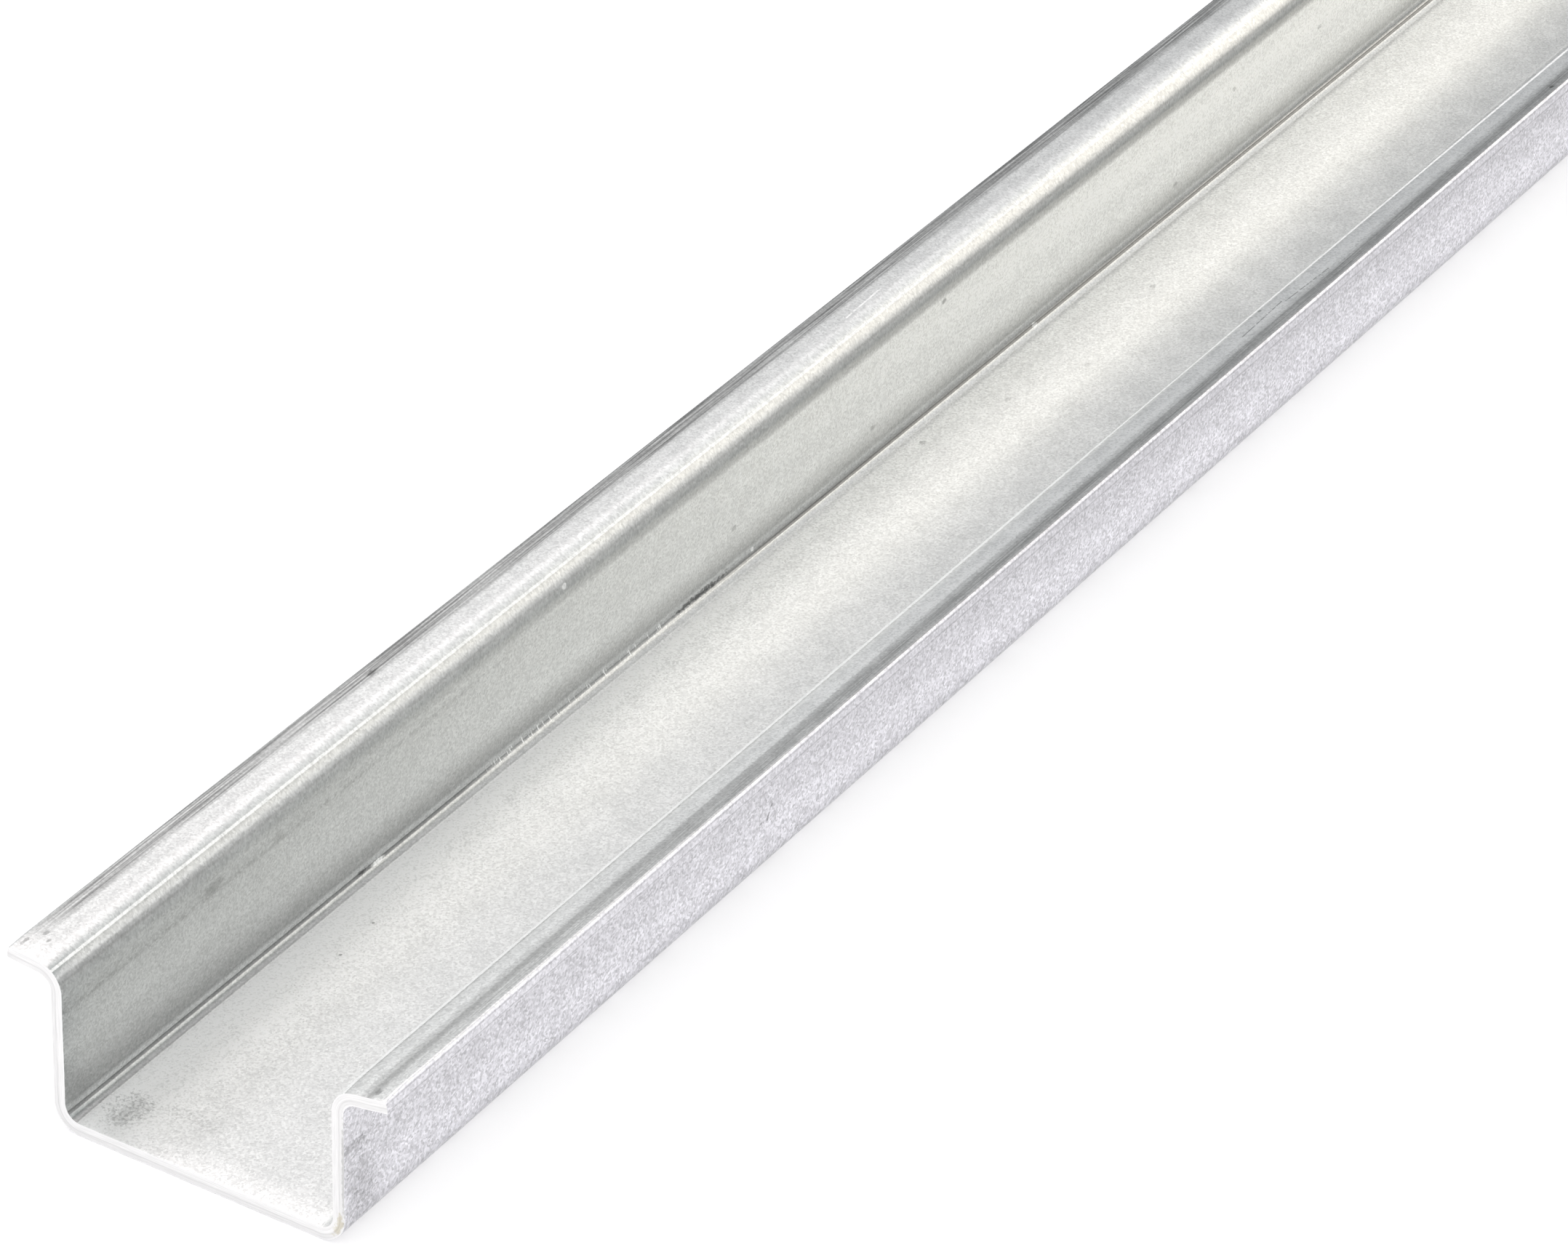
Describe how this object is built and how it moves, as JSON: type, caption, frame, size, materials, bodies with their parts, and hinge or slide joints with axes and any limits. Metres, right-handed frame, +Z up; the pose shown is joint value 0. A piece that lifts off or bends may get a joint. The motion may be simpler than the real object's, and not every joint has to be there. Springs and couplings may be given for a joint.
{
  "type": "din rail",
  "caption": "Unperforated top-hat mounting rail: galvanised steel strip roll-formed into an open channel with outward flanges that devices clip onto.",
  "frame": {"origin": "underside of the web, at the middle of the rail's length and width", "axes": "+X along the rail, +Y across it, +Z up out of the open channel"},
  "size_m": [0.5, 0.035, 0.015],
  "materials": {
    "galvanised_steel": "galvanised, matte and finely mottled, with drawn streaks on the flanges"
  },
  "bodies": {
    "root": {"rail": "galvanised_steel"}
  },
  "joints": []
}
